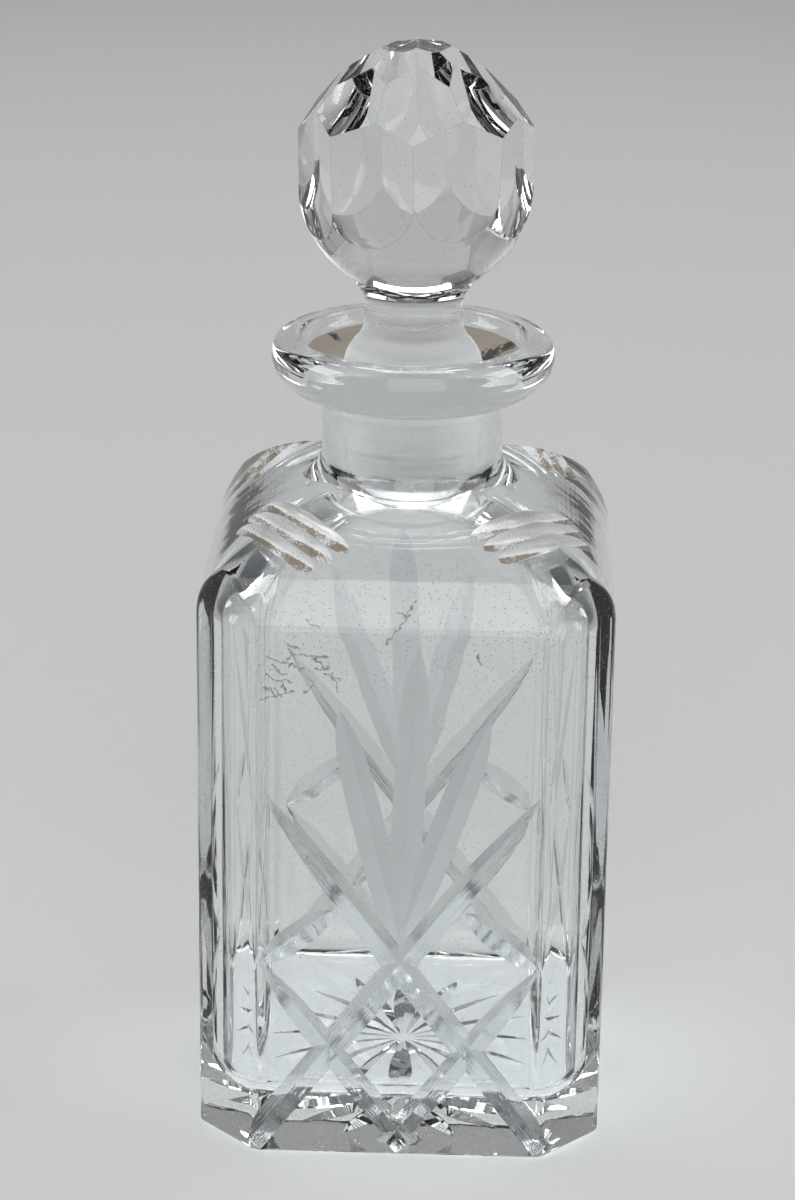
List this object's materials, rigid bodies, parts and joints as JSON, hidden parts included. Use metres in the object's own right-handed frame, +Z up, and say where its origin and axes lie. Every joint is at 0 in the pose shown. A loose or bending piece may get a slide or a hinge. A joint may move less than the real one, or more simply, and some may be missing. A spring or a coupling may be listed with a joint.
{
  "type": "square cut-glass decanter with stopper",
  "caption": "Square cut-glass spirit decanter with flat-cut corners, a flared lip, leaf and lattice mitre cuts, a star base and a ground-in faceted ball stopper that lifts out.",
  "frame": {"origin": "under the middle of the base, on the plane that the decanter stands on", "axes": "+Z up along the axis of the neck and the stopper, -Y out of the front face of the body"},
  "size_m": [0.089, 0.089, 0.2373],
  "materials": {
    "clear_glass": "polished clear glass, with ground cuts in the leaves, the shoulder gouges and the neck's bore",
    "stopper_glass": "polished clear facets, with a ground plug"
  },
  "bodies": {
    "decanter": {"decanter_body": "clear_glass"},
    "stopper": {"stopper": "stopper_glass"}
  },
  "joints": [
    {"name": "stopper_lift", "type": "slide", "parent": "decanter", "child": "stopper", "axis": [0, 0, 1], "range_m": [0, 0.06]}
  ]
}
